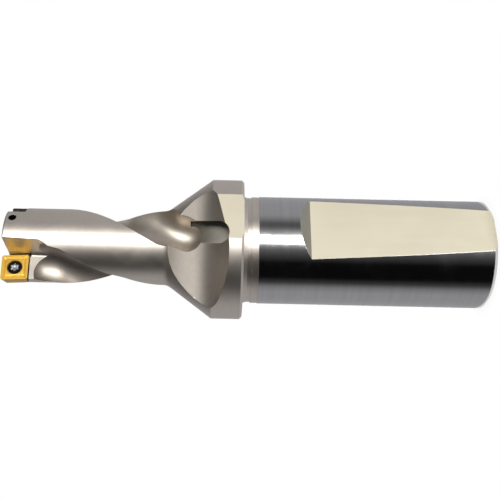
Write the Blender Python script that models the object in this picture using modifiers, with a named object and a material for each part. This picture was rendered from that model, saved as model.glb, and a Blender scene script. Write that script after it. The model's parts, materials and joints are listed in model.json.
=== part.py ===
# Indexable insert drill: a steel body with a cylindrical shank and two helical flutes,
# two square carbide inserts and their two screws. Metres, +Z along the axis towards the tip,
# Z = 0 at the end of the shank. Angles round the axis are counted from -Y towards +X.

import math

import bmesh
import bpy
from mathutils import Matrix, Vector

MM = 0.001

# Cutting end
DRILL_DIAMETER = 18.0 * MM
BODY_RELIEF = 0.35 * MM
BODY_LENGTH = 36.8 * MM
NOSE_CHAMFER = 0.25 * MM
STRAIGHT_FLUTE = 9.1 * MM
HELIX_LEAD = 89.0 * MM
CORE_THICKNESS = 4.4 * MM
FLUTE_RADIUS = 5.74 * MM
FLUTE_ANGLE = math.radians(-27.8)
FLUTE_SETBACK = 1.5 * MM
FLUTE_CLEAR_OF_CONE = 1.8 * MM

# Gullets in front of the inserts
SEAT_ANGLE = math.radians(-62.0)
SEAT_RISE = 0.2 * MM
GULLET_WALL = 2.4 * MM
GULLET_FILLET = 0.6 * MM
GULLET_OVERRUN = 3.1 * MM
SIDE_SLOT_ANGLE = math.radians(79.0)
SIDE_SLOT_WIDTH = 5.0 * MM
SIDE_SLOT_DEPTH = 1.1 * MM
SIDE_SLOT_LENGTH = 5.6 * MM

# Cone, flange and the run-out cuts across them
CONE_ANGLE = math.radians(36.0)
FLANGE_DIAMETER = 32.4 * MM
FLANGE_LENGTH = 7.1 * MM
FLANGE_CHAMFER = 0.5 * MM
FLANGE_RING = 3.2 * MM
FLANGE_FLAT_DEPTH = 1.0 * MM
SCALLOP_FLOOR = 7.2 * MM
SCALLOP_FLAT = 3.0 * MM
SCALLOP_RADIUS = 12.0 * MM
SCALLOP_SWEEP = math.radians(50.0)
SCALLOP_WALL_ANGLE = math.radians(65.0)
SCALLOP_FILLET = 1.5 * MM
TROUGH_RADIUS = 4.0 * MM
TROUGH_OFFSET = 3.0 * MM
TROUGH_LENGTH = 6.2 * MM
TROUGH_DEPTH = 2.4 * MM
CHANNEL_WIDTH = 5.0 * MM
CHANNEL_OFFSET = 3.75 * MM
CHANNEL_DEPTH = 2.0 * MM

# Shank, its neck and the inclined clamping flat
SHANK_DIAMETER = 25.0 * MM
SHANK_LENGTH = 56.0 * MM
SHANK_CHAMFER = 0.75 * MM
NECK_GROOVE_WIDTH = 1.8 * MM
NECK_GROOVE_DEPTH = 0.35 * MM
NECK_BAND_WIDTH = 1.6 * MM
NECK_BAND_DEPTH = 0.15 * MM
FLAT_ANGLE = math.radians(29.0)
FLAT_LENGTH = 41.0 * MM
FLAT_DEPTH = 2.5 * MM
FLAT_INCLINE = math.radians(2.0)
FLAT_END_ANGLE = math.radians(45.0)

# Coolant supply
INLET_DIAMETER = 8.0 * MM
INLET_DEPTH = 60.0 * MM
INLET_POINT_ANGLE = math.radians(59.0)
COOLANT_DIAMETER = 1.6 * MM
COOLANT_RADIUS = 6.5 * MM
COOLANT_ANGLE = math.radians(75.0)
COOLANT_INLET_RADIUS = 2.8 * MM

# Inserts and screws
INSERT_SIZE = 6.2 * MM
INSERT_THICKNESS = 3.1 * MM
INSERT_CLEARANCE = math.radians(11.0)
INSERT_CORNER = 0.45 * MM
INSERT_LAND = 0.25 * MM
INSERT_GROOVE_WIDTH = 0.45 * MM
INSERT_GROOVE_DEPTH = 0.2 * MM
INSERT_MIDDLE_RISE = 0.1 * MM
INSERT_TILT = math.radians(3.0)
INSERT_OVERHANG = 1.4 * MM
CENTRAL_OVERLAP = 0.4 * MM
SEAT_GAP = 0.3 * MM
CORNER_RELIEF = 0.6 * MM
POCKET_LIFT = 0.5 * MM
CHIP_CLEARANCE = 0.25 * MM
SCREW_HEAD_DIAMETER = 3.2 * MM
SCREW_DIAMETER = 1.8 * MM
SCREW_LENGTH = 5.4 * MM
SCREW_HEAD_ANGLE = math.radians(30.0)
SCREW_RIM = 0.2 * MM
SCREW_RECESS = 0.12 * MM
SCREW_GAP = 0.2 * MM
SOCKET_RADIUS = 0.85 * MM
SOCKET_LOBE = 0.13 * MM
SOCKET_LOBES = 6
SOCKET_DEPTH = 0.8 * MM

# Facets
BODY_STEPS = 96
SMALL_STEPS = 24
FLUTE_SEGMENTS = 32
FLUTE_STEPS = 24
GULLET_STEPS = 4
ARC_STEPS = 10
FILLET_STEPS = 4
CHANNEL_STEPS = 8
CORNER_STEPS = 4
SOCKET_STEPS = 36
OVERCUT = 2.0 * MM

# Places that follow from the sizes
BODY_RADIUS = DRILL_DIAMETER / 2 - BODY_RELIEF
SHANK_RADIUS = SHANK_DIAMETER / 2
FLANGE_RADIUS = FLANGE_DIAMETER / 2
FLANGE_FRONT = SHANK_LENGTH + FLANGE_LENGTH
CONE_TOP = FLANGE_FRONT + (FLANGE_RADIUS - BODY_RADIUS) / math.tan(CONE_ANGLE)
FRONT = CONE_TOP + BODY_LENGTH
HELIX_START = FRONT - STRAIGHT_FLUTE
INSERT_FRONT = FRONT + INSERT_OVERHANG
INSERT_CENTRE = INSERT_FRONT - INSERT_SIZE / 2
PERIPHERAL_OFFSET = DRILL_DIAMETER / 2 - INSERT_SIZE / 2
CENTRAL_OFFSET = INSERT_SIZE / 2 - CENTRAL_OVERLAP
HALF_TURN = math.pi


def remove_everything():
    for item in list(bpy.data.objects):
        bpy.data.objects.remove(item, do_unlink=True)


def new_collection(name):
    collection = bpy.data.collections.new(name)
    bpy.context.scene.collection.children.link(collection)
    return collection


def direction(angle):
    return Vector((math.sin(angle), -math.cos(angle), 0.0))


def helix_angle(height):
    """Turn of the flutes at a height; they run straight at the front and over the cone."""
    drop = HELIX_START - min(max(height, CONE_TOP), HELIX_START)
    return -2 * math.pi * drop / HELIX_LEAD


def seat_frame(turn):
    """Axes of an insert seat: outward, up out of the seat, and along the tool."""
    outward = direction(SEAT_ANGLE + turn)
    upward = direction(SEAT_ANGLE + turn + math.pi / 2)
    return outward, upward, Vector((0, 0, 1))


def insert_matrix(offset, turn):
    """Place of an insert: X outward, Y towards the shank, Z out of its top face."""
    outward, upward, axial = seat_frame(turn)
    basis = Matrix((outward, -axial, upward)).transposed().to_4x4()
    place = Matrix.Translation(outward * offset + upward * SEAT_RISE + axial * INSERT_CENTRE)
    return place @ basis @ Matrix.Rotation(INSERT_TILT, 4, "Z")


def material(name, colour, roughness, metallic):
    made = bpy.data.materials.new(name)
    made.use_nodes = True
    shader = made.node_tree.nodes["Principled BSDF"]
    shader.inputs["Base Color"].default_value = (*colour, 1.0)
    shader.inputs["Roughness"].default_value = roughness
    shader.inputs["Metallic"].default_value = metallic
    return made


def add_object(name, mesh, collection):
    made = bpy.data.objects.new(name, mesh)
    collection.objects.link(made)
    if collection == CUTTERS:
        made.hide_render = True
        made.display_type = "WIRE"
    return made


def mesh_object(name, bm, collection):
    bmesh.ops.recalc_face_normals(bm, faces=bm.faces)
    mesh = bpy.data.meshes.new(name)
    bm.to_mesh(mesh)
    bm.free()
    return add_object(name, mesh, collection)


def turned(name, profile, steps, collection):
    """A solid of revolution: (radius, height) points from the top down."""
    bm = bmesh.new()
    corners = [bm.verts.new((radius, 0, height)) for radius, height in profile]
    for upper, lower in zip(corners, corners[1:]):
        bm.edges.new((upper, lower))
    mesh = bpy.data.meshes.new(name)
    bm.to_mesh(mesh)
    bm.free()
    made = add_object(name, mesh, collection)
    screw = made.modifiers.new("turn", "SCREW")
    screw.steps = steps
    screw.render_steps = steps
    screw.use_merge_vertices = True
    screw.merge_threshold = 0.000001
    return made


def outline_solid(name, points, half_depth, collection):
    """A flat outline in XY, thickened both ways along Z."""
    curve = bpy.data.curves.new(name, "CURVE")
    curve.dimensions = "2D"
    curve.fill_mode = "BOTH"
    curve.extrude = half_depth
    spline = curve.splines.new("POLY")
    spline.points.add(len(points) - 1)
    for point, (x, y) in zip(spline.points, points):
        point.co = (x, y, 0, 1)
    spline.use_cyclic_u = True
    return curve_as_mesh(name, curve, collection)


def curve_as_mesh(name, curve, collection):
    holder = bpy.data.objects.new(name, curve)
    bpy.context.scene.collection.objects.link(holder)
    evaluated = holder.evaluated_get(bpy.context.evaluated_depsgraph_get())
    mesh = bpy.data.meshes.new_from_object(evaluated)
    bpy.data.objects.remove(holder)
    bm = bmesh.new()
    bm.from_mesh(mesh)
    bmesh.ops.remove_doubles(bm, verts=bm.verts, dist=0.000001)
    bpy.data.meshes.remove(mesh)
    return mesh_object(name, bm, collection)


def cylinder(bm, radius, length, segments, matrix):
    bmesh.ops.create_cone(
        bm,
        cap_ends=True,
        segments=segments,
        radius1=radius,
        radius2=radius,
        depth=length,
        matrix=matrix,
    )


def cut(target, cutter):
    modifier = target.modifiers.new(cutter.name, "BOOLEAN")
    modifier.operation = "DIFFERENCE"
    modifier.solver = "MANIFOLD"
    modifier.object = cutter


def body_profile():
    groove_front = SHANK_LENGTH
    groove_rear = groove_front - NECK_GROOVE_WIDTH
    band_rear = groove_rear - NECK_BAND_WIDTH
    band_radius = SHANK_RADIUS - NECK_BAND_DEPTH
    groove_radius = SHANK_RADIUS - NECK_GROOVE_DEPTH
    return [
        (0, FRONT),
        (BODY_RADIUS - NOSE_CHAMFER, FRONT),
        (BODY_RADIUS, FRONT - NOSE_CHAMFER),
        (BODY_RADIUS, CONE_TOP),
        (FLANGE_RADIUS, FLANGE_FRONT),
        (FLANGE_RADIUS, SHANK_LENGTH + FLANGE_CHAMFER),
        (FLANGE_RADIUS - FLANGE_CHAMFER, SHANK_LENGTH),
        (groove_radius + NECK_GROOVE_DEPTH, groove_front),
        (groove_radius, groove_front - NECK_GROOVE_WIDTH / 2),
        (groove_radius, groove_rear),
        (band_radius, groove_rear),
        (band_radius, band_rear),
        (SHANK_RADIUS, band_rear),
        (SHANK_RADIUS, SHANK_CHAMFER),
        (SHANK_RADIUS - SHANK_CHAMFER, 0),
        (0, 0),
    ]


def extruded(bm, face):
    """Extrudes a face in place and returns the new face; the old one stays where it was."""
    made = bmesh.ops.extrude_face_region(bm, geom=[face])["geom"]
    return next(item for item in made if isinstance(item, bmesh.types.BMFace))


def sweep_down(bm, face, heights):
    """Carries a section from height to height, turned as the helix turns."""
    for step, (upper, lower) in enumerate(zip(heights, heights[1:])):
        above = face
        face = extruded(bm, above)
        turn = helix_angle(lower) - helix_angle(upper)
        bmesh.ops.rotate(bm, cent=(0, 0, 0), matrix=Matrix.Rotation(turn, 3, "Z"), verts=face.verts)
        bmesh.ops.translate(bm, vec=(0, 0, lower - upper), verts=face.verts)
        if step > 0:
            bmesh.ops.delete(bm, geom=[above], context="FACES_ONLY")


def even_steps(start, end, count):
    return [start + (end - start) * step / count for step in range(count + 1)]


def flute_centre(turn, height):
    """Middle of a flute's round section."""
    distance = CORE_THICKNESS / 2 + FLUTE_RADIUS
    angle = FLUTE_ANGLE + turn + helix_angle(height)
    return direction(angle) * distance + Vector((0, 0, height))


def flute_cutters(name, turn):
    """The round flute with its ball ends, and the square gullet ahead of it."""
    start = HELIX_START - FLUTE_SETBACK
    end = CONE_TOP + FLUTE_CLEAR_OF_CONE
    bm = bmesh.new()
    circle = bmesh.ops.create_circle(
        bm,
        cap_ends=True,
        radius=FLUTE_RADIUS,
        segments=FLUTE_SEGMENTS,
        matrix=Matrix.Translation(flute_centre(turn, start)),
    )
    face = circle["verts"][0].link_faces[0]
    sweep_down(bm, face, even_steps(start, end, FLUTE_STEPS))
    cutters = [mesh_object(f"{name}_flute", bm, CUTTERS)]
    for label, height in (("front", start), ("rear", end)):
        ball = bmesh.new()
        bmesh.ops.create_uvsphere(
            ball,
            u_segments=FLUTE_SEGMENTS,
            v_segments=FLUTE_SEGMENTS // 2,
            radius=FLUTE_RADIUS,
            matrix=Matrix.Translation(flute_centre(turn, height)),
        )
        cutters.append(mesh_object(f"{name}_flute_{label}", ball, CUTTERS))
    cutters.append(gullet_cutter(name, turn))
    return cutters


def gullet_cutter(name, turn):
    outward, upward, axial = seat_frame(turn)
    top = FRONT + OVERCUT
    reach = DRILL_DIAMETER / 2
    bm = bmesh.new()
    square = bmesh.ops.create_grid(bm, x_segments=1, y_segments=1, size=reach / 2)["verts"]
    basis = Matrix((outward, upward, axial)).transposed().to_4x4()
    middle = (
        outward * (GULLET_WALL + reach / 2)
        + upward * (SEAT_RISE + reach / 2)
        + axial * top
    )
    bmesh.ops.transform(bm, matrix=Matrix.Translation(middle) @ basis, verts=square)
    root = min(bm.verts, key=lambda vert: vert.co.xy.length)
    bmesh.ops.bevel(
        bm,
        geom=[root],
        offset=GULLET_FILLET,
        segments=FILLET_STEPS,
        profile=0.5,
        affect="VERTICES",
    )
    face = bm.faces[:][0]
    end = HELIX_START - GULLET_OVERRUN
    sweep_down(bm, face, [top] + even_steps(HELIX_START, end, GULLET_STEPS))
    return mesh_object(f"{name}_gullet", bm, CUTTERS)


def run_out_cutters(name, turn):
    """The wide milled cut across the cone and flange, and the two channels in its floor."""
    wall_slope = math.tan(SCALLOP_WALL_ANGLE)
    ring_top = SHANK_LENGTH + FLANGE_RING
    foot = ring_top + (FLANGE_RADIUS - SCALLOP_FLOOR) / wall_slope
    reach = FLANGE_RADIUS + OVERCUT
    fillet_run = SCALLOP_FILLET * math.tan(SCALLOP_WALL_ANGLE / 2)
    fillet_middle = (foot + fillet_run, SCALLOP_FLOOR + SCALLOP_FILLET)
    points = [(foot - (reach - SCALLOP_FLOOR) / wall_slope, reach)]
    for swing in even_steps(SCALLOP_WALL_ANGLE, 0, FILLET_STEPS):
        points.append(
            (
                fillet_middle[0] - SCALLOP_FILLET * math.sin(swing),
                fillet_middle[1] - SCALLOP_FILLET * math.cos(swing),
            )
        )
    arc_start = foot + SCALLOP_FLAT
    for swing in even_steps(0, SCALLOP_SWEEP, ARC_STEPS):
        points.append(
            (
                arc_start + SCALLOP_RADIUS * math.sin(swing),
                SCALLOP_FLOOR + SCALLOP_RADIUS * (1 - math.cos(swing)),
            )
        )
    points.append((points[-1][0], reach))
    scallop = outline_solid(f"{name}_scallop", points, reach, CUTTERS)
    across = direction(turn + math.pi / 2)
    outward = direction(turn)
    up = Vector((0, 0, 1))
    scallop.data.transform(Matrix((up, outward, up.cross(outward))).transposed().to_4x4())

    half = CHANNEL_WIDTH / 2
    end = ring_top + half
    start = CONE_TOP - TROUGH_LENGTH
    channel = [(half, start), (half, end)]
    for swing in even_steps(0, math.pi, CHANNEL_STEPS)[1:]:
        channel.append((half * math.cos(swing), end - half * math.sin(swing)))
    channel.append((-half, start))
    bottom = SCALLOP_FLOOR - CHANNEL_DEPTH
    slot = outline_solid(f"{name}_channel", channel, (reach - bottom) / 2, CUTTERS)
    basis = Matrix((across, up, across.cross(up))).transposed().to_4x4()
    middle = across * CHANNEL_OFFSET + outward * (bottom + reach) / 2
    slot.data.transform(Matrix.Translation(middle) @ basis)

    place = across * TROUGH_OFFSET + outward * (SCALLOP_FLOOR - TROUGH_DEPTH + TROUGH_RADIUS)
    bm = bmesh.new()
    middle = place + up * (CONE_TOP - TROUGH_LENGTH / 2)
    cylinder(bm, TROUGH_RADIUS, TROUGH_LENGTH, SMALL_STEPS, Matrix.Translation(middle))
    trough = mesh_object(f"{name}_trough", bm, CUTTERS)
    ball = bmesh.new()
    bmesh.ops.create_uvsphere(
        ball,
        u_segments=SMALL_STEPS,
        v_segments=SMALL_STEPS // 2,
        radius=TROUGH_RADIUS,
        matrix=Matrix.Translation(place + up * start),
    )
    return [scallop, slot, trough, mesh_object(f"{name}_trough_end", ball, CUTTERS)]


def flat_cutters():
    """The inclined clamping flat on the shank, and the small flat on the flange."""
    up = Vector((0, 0, 1))
    outward = direction(FLAT_ANGLE)
    basis = Matrix((up, outward, up.cross(outward))).transposed().to_4x4()
    low = SHANK_RADIUS - FLAT_DEPTH
    reach = SHANK_RADIUS + OVERCUT
    slope = math.tan(FLAT_INCLINE)
    points = [
        (-OVERCUT, low + (FLAT_LENGTH + OVERCUT) * slope),
        (FLAT_LENGTH, low),
        (FLAT_LENGTH + (reach - low) / math.tan(FLAT_END_ANGLE), reach),
        (-OVERCUT, reach),
    ]
    clamp = outline_solid("clamping_flat", points, SHANK_RADIUS, CUTTERS)
    clamp.data.transform(basis)

    low = FLANGE_RADIUS - FLANGE_FLAT_DEPTH
    reach = FLANGE_RADIUS + OVERCUT
    front = FLANGE_FRONT + OVERCUT
    rear = SHANK_LENGTH - OVERCUT
    points = [(rear, low), (front, low), (front, reach), (rear, reach)]
    flange = outline_solid("flange_flat", points, FLANGE_RADIUS, CUTTERS)
    flange.data.transform(basis)
    return [clamp, flange]


def side_slot_cutter(name, turn):
    """Shallow slot along the land beside the central insert."""
    outward = direction(SIDE_SLOT_ANGLE + turn)
    across = direction(SIDE_SLOT_ANGLE + turn + math.pi / 2)
    up = Vector((0, 0, 1))
    bm = bmesh.new()
    height = SIDE_SLOT_LENGTH + OVERCUT
    size = Matrix.Diagonal((SIDE_SLOT_WIDTH, SIDE_SLOT_DEPTH + OVERCUT, height, 1))
    bmesh.ops.create_cube(bm, size=1, matrix=size)
    middle = (
        outward * (BODY_RADIUS + (OVERCUT - SIDE_SLOT_DEPTH) / 2)
        + up * (FRONT + (OVERCUT - SIDE_SLOT_LENGTH) / 2)
    )
    basis = Matrix((across, outward, across.cross(outward))).transposed().to_4x4()
    bmesh.ops.transform(bm, matrix=Matrix.Translation(middle) @ basis, verts=bm.verts)
    return mesh_object(f"{name}_side_slot", bm, CUTTERS)


def coolant_path(turn):
    points = [direction(COOLANT_ANGLE + turn) * COOLANT_RADIUS + Vector((0, 0, FRONT + OVERCUT))]
    for height in even_steps(HELIX_START, CONE_TOP, FLUTE_STEPS // 2):
        angle = COOLANT_ANGLE + turn + helix_angle(height)
        points.append(direction(angle) * COOLANT_RADIUS + Vector((0, 0, height)))
    angle = COOLANT_ANGLE + turn + helix_angle(CONE_TOP)
    meeting = INLET_DEPTH - INLET_DIAMETER / 2
    points.append(direction(angle) * COOLANT_INLET_RADIUS + Vector((0, 0, meeting)))
    return points


def coolant_cutters():
    inlet = turned(
        "coolant_inlet",
        [
            (0, INLET_DEPTH + INLET_DIAMETER / 2 / math.tan(INLET_POINT_ANGLE)),
            (INLET_DIAMETER / 2, INLET_DEPTH),
            (INLET_DIAMETER / 2, -OVERCUT),
            (0, -OVERCUT),
        ],
        SMALL_STEPS,
        CUTTERS,
    )
    cutters = [inlet]
    for label, turn in (("near", 0.0), ("far", HALF_TURN)):
        points = coolant_path(turn)
        curve = bpy.data.curves.new(f"{label}_coolant", "CURVE")
        curve.dimensions = "3D"
        curve.bevel_depth = COOLANT_DIAMETER / 2
        curve.bevel_resolution = 2
        curve.use_fill_caps = True
        spline = curve.splines.new("POLY")
        spline.points.add(len(points) - 1)
        for point, place in zip(spline.points, points):
            point.co = (*place, 1)
        cutters.append(curve_as_mesh(f"{label}_coolant", curve, CUTTERS))
    return cutters


def pocket_cutters(name, offset, turn, outer_side_open):
    """The insert's pocket, its corner relief and its tapped hole, in the insert's own frame."""
    wall = INSERT_SIZE / 2 + SEAT_GAP
    open_side = wall + OVERCUT
    floor = INSERT_THICKNESS + SEAT_GAP
    taper = math.tan(INSERT_CLEARANCE)
    bm = bmesh.new()
    bmesh.ops.create_cube(bm, size=2)
    for vert in bm.verts:
        outer = vert.co.x > 0
        towards_shank = vert.co.y > 0
        depth = -POCKET_LIFT if vert.co.z > 0 else floor
        closed = wall - depth * taper
        side = open_side if outer and outer_side_open else closed
        vert.co.x = side if outer else -side
        vert.co.y = closed if towards_shank else -open_side
        vert.co.z = -depth
    place = insert_matrix(offset, turn)
    bmesh.ops.transform(bm, matrix=place, verts=bm.verts)
    cutters = [mesh_object(f"{name}_pocket", bm, CUTTERS)]

    corner = -1 if outer_side_open else 1
    reach = INSERT_SIZE / 2
    relief = bmesh.new()
    middle = Matrix.Translation((corner * reach, reach, (POCKET_LIFT - floor) / 2))
    cylinder(relief, CORNER_RELIEF, floor + POCKET_LIFT, SMALL_STEPS // 2, place @ middle)
    cutters.append(mesh_object(f"{name}_corner_relief", relief, CUTTERS))

    hole = bmesh.new()
    through = DRILL_DIAMETER / 2
    middle = Matrix.Translation((0, 0, -INSERT_THICKNESS - through / 2))
    cylinder(hole, SCREW_DIAMETER / 2 + SCREW_GAP, through, SMALL_STEPS, place @ middle)
    cutters.append(mesh_object(f"{name}_tapped_hole", hole, CUTTERS))
    return cutters


def chip_clearance_cutter():
    """The central insert crosses the axis, so its gullet is opened past the middle."""
    outward, upward, axial = seat_frame(HALF_TURN)
    near = -CENTRAL_OVERLAP - SEAT_GAP - CHIP_CLEARANCE
    far = GULLET_WALL + GULLET_FILLET
    reach = DRILL_DIAMETER / 2
    rear = INSERT_CENTRE - INSERT_SIZE / 2 - SEAT_GAP
    top = FRONT + OVERCUT
    bm = bmesh.new()
    size = Matrix.Diagonal((far - near, reach, top - rear, 1))
    bmesh.ops.create_cube(bm, size=1, matrix=size)
    basis = Matrix((outward, upward, axial)).transposed().to_4x4()
    middle = (
        outward * (near + far) / 2
        + upward * (SEAT_RISE + reach / 2)
        + axial * (top + rear) / 2
    )
    bmesh.ops.transform(bm, matrix=Matrix.Translation(middle) @ basis, verts=bm.verts)
    return mesh_object("central_chip_clearance", bm, CUTTERS)


def drill_body():
    body = turned("drill_body", body_profile(), BODY_STEPS, PARTS)
    cutters = []
    for name, turn in (("near", 0.0), ("far", HALF_TURN)):
        cutters += flute_cutters(name, turn)
        cutters += run_out_cutters(name, turn)
        cutters.append(side_slot_cutter(name, turn))
    cutters += flat_cutters()
    cutters += pocket_cutters("peripheral", PERIPHERAL_OFFSET, 0.0, True)
    cutters += pocket_cutters("central", CENTRAL_OFFSET, HALF_TURN, False)
    cutters.append(chip_clearance_cutter())
    cutters += coolant_cutters()
    for cutter in cutters:
        cut(body, cutter)
    return body


def insert(name, offset, turn):
    """A square positive insert with a chip groove round its raised middle."""
    bm = bmesh.new()
    bmesh.ops.create_grid(bm, x_segments=1, y_segments=1, size=INSERT_SIZE / 2)
    bmesh.ops.bevel(
        bm,
        geom=bm.verts[:],
        offset=INSERT_CORNER,
        segments=CORNER_STEPS,
        profile=0.5,
        affect="VERTICES",
    )
    top = bm.faces[:][0]
    bottom = extruded(bm, top)
    shrink = 1 - 2 * INSERT_THICKNESS * math.tan(INSERT_CLEARANCE) / INSERT_SIZE
    bmesh.ops.scale(bm, vec=(shrink, shrink, 1), verts=bottom.verts)
    bmesh.ops.translate(bm, vec=(0, 0, -INSERT_THICKNESS), verts=bottom.verts)
    half = INSERT_SIZE / 2
    rings = [
        (INSERT_LAND, 0),
        (INSERT_GROOVE_WIDTH, -INSERT_GROOVE_DEPTH),
        (INSERT_GROOVE_WIDTH / 2, INSERT_MIDDLE_RISE),
    ]
    for width, rise in rings:
        outer = top
        top = extruded(bm, outer)
        shrink = 1 - width / half
        bmesh.ops.scale(bm, vec=(shrink, shrink, 1), verts=top.verts)
        bmesh.ops.translate(bm, vec=(0, 0, rise), verts=top.verts)
        bmesh.ops.delete(bm, geom=[outer], context="FACES_ONLY")
        half -= width
    made = mesh_object(name, bm, PARTS)
    made.matrix_world = insert_matrix(offset, turn)
    hole = turned(f"{name}_hole", screw_profile(SCREW_GAP, OVERCUT, OVERCUT), SMALL_STEPS, CUTTERS)
    hole.matrix_world = insert_matrix(offset, turn)
    cut(made, hole)
    return made


def screw_profile(gap, above, below):
    """Countersunk screw from the head down, grown by a gap all round."""
    head = SCREW_HEAD_DIAMETER / 2 + gap
    shaft = SCREW_DIAMETER / 2 + gap
    top = -SCREW_RECESS
    rim = top - SCREW_RIM
    return [
        (0, top + above),
        (head, top + above),
        (head, rim),
        (shaft, rim - (head - shaft) / math.tan(SCREW_HEAD_ANGLE)),
        (shaft, -SCREW_LENGTH - below),
        (0, -SCREW_LENGTH - below),
    ]


def insert_screw(name, offset, turn):
    made = turned(name, screw_profile(0, 0, 0), SMALL_STEPS, PARTS)
    place = insert_matrix(offset, turn)
    made.matrix_world = place
    lobes = []
    for angle in even_steps(0, 2 * math.pi, SOCKET_STEPS)[1:]:
        radius = SOCKET_RADIUS + SOCKET_LOBE * math.cos(SOCKET_LOBES * angle)
        lobes.append((radius * math.cos(angle), radius * math.sin(angle)))
    socket = outline_solid(f"{name}_socket", lobes, SOCKET_DEPTH, CUTTERS)
    socket.matrix_world = place @ Matrix.Translation((0, 0, -SCREW_RECESS))
    cut(made, socket)
    return made


remove_everything()
PARTS = new_collection("indexable_drill")
CUTTERS = new_collection("cutters")

body_steel = material("satin_nickel_steel", (0.50, 0.47, 0.43), 0.28, 1.0)
gold_carbide = material("gold_coated_carbide", (0.78, 0.52, 0.14), 0.32, 1.0)
dark_steel = material("dark_screw_steel", (0.08, 0.08, 0.09), 0.35, 1.0)

pieces = [
    (drill_body(), body_steel),
    (insert("peripheral_insert", PERIPHERAL_OFFSET, 0.0), gold_carbide),
    (insert("central_insert", CENTRAL_OFFSET, HALF_TURN), gold_carbide),
    (insert_screw("peripheral_insert_screw", PERIPHERAL_OFFSET, 0.0), dark_steel),
    (insert_screw("central_insert_screw", CENTRAL_OFFSET, HALF_TURN), dark_steel),
]
for piece, finish in pieces:
    piece.data.materials.append(finish)
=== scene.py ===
import json
import math

import bmesh
import bpy
from mathutils import Matrix, Vector

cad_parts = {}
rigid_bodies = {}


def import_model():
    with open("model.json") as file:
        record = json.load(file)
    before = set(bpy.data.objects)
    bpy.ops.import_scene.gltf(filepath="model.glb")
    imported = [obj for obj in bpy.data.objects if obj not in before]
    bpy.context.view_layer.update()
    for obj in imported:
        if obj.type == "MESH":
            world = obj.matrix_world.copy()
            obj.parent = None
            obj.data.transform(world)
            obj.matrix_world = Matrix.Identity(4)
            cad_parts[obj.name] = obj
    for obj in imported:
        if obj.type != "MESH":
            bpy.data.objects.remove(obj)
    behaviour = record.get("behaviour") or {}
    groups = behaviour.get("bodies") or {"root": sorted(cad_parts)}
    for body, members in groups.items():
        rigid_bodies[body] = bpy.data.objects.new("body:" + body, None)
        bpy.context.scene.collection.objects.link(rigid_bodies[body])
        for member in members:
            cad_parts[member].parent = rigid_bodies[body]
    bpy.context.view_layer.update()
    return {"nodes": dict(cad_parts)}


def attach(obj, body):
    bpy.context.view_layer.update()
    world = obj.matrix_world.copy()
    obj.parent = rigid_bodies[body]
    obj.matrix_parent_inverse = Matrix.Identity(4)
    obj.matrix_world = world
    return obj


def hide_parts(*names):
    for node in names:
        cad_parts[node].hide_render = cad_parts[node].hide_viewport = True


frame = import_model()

# The drill stands on its shank end. Lengths are in millimetres and angles in degrees, heights
# run from the shank end to the tip, and turns count from -Y towards +X.
mm = 0.001
halfTurn = math.pi
mergeGap = 0.0002  # corners closer than this are one
weldGap = 0.0005  # the same after the cuts
alongTool = Vector((0, 0, 1))
scene = bpy.context.scene
print("frame loaded:", ", ".join(frame["nodes"]))


# Small tools for meshes

def direction(angle):
    return Vector((math.sin(angle), -math.cos(angle), 0.0))


def evenSteps(start, end, count):
    return [start + (end - start) * step / count for step in range(count + 1)]


def axes(first, second, third):  # a turn that carries X, Y, Z to three directions
    return Matrix((first, second, third)).transposed().to_4x4()


def linkedObject(name, bm):
    mesh = bpy.data.meshes.new(name)
    bm.to_mesh(mesh)
    bm.free()
    made = bpy.data.objects.new(name, mesh)
    scene.collection.objects.link(made)
    return made


def meshObject(name, bm, finish):
    bmesh.ops.remove_doubles(bm, verts=bm.verts, dist=mergeGap)
    bmesh.ops.recalc_face_normals(bm, faces=bm.faces)
    made = linkedObject(name, bm)
    for material in finishes.values():
        made.data.materials.append(material)
    slot = list(finishes).index(finish)
    for face in made.data.polygons:
        face.material_index = slot
    return made


def turnedObject(name, profile, steps, finish, matrix=Matrix()):  # profile: radius and height
    bm = bmesh.new()
    corners = [bm.verts.new((radius, 0, height)) for radius, height in profile]
    edges = [bm.edges.new(pair) for pair in zip(corners, corners[1:])]
    bmesh.ops.spin(
        bm,
        geom=corners + edges,
        cent=(0, 0, 0),
        axis=(0, 0, 1),
        angle=2 * math.pi,
        steps=steps,
        use_merge=True,
        use_duplicate=False,
    )
    bmesh.ops.transform(bm, matrix=matrix, verts=bm.verts)
    return meshObject(name, bm, finish)


def outlineObject(name, points, halfDepth, finish, matrix=Matrix()):  # a flat outline made thick
    bm = bmesh.new()
    corners = [bm.verts.new((x, y, -halfDepth)) for x, y in points]
    base = bm.faces.new(corners)
    top = extruded(bm, base)
    bmesh.ops.translate(bm, vec=(0, 0, 2 * halfDepth), verts=top.verts)
    bmesh.ops.transform(bm, matrix=matrix, verts=bm.verts)
    return meshObject(name, bm, finish)


def extruded(bm, face):
    made = bmesh.ops.extrude_face_region(bm, geom=[face])["geom"]
    return next(item for item in made if isinstance(item, bmesh.types.BMFace))


def cylinderObject(name, radius, length, segments, finish, matrix):
    bm = bmesh.new()
    bmesh.ops.create_cone(
        bm,
        cap_ends=True,
        segments=segments,
        radius1=radius,
        radius2=radius,
        depth=length,
        matrix=matrix,
    )
    return meshObject(name, bm, finish)


def boxObject(name, size, finish, matrix):
    bm = bmesh.new()
    bmesh.ops.create_cube(bm, size=1, matrix=Matrix.Diagonal((*size, 1)))
    bmesh.ops.transform(bm, matrix=matrix, verts=bm.verts)
    return meshObject(name, bm, finish)


def roundCorners(bm, corners, radius, steps):  # of a flat face
    bmesh.ops.bevel(
        bm,
        geom=corners,
        offset=radius,
        segments=steps,
        profile=0.5,
        affect="VERTICES",
        material=-1,
    )


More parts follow.
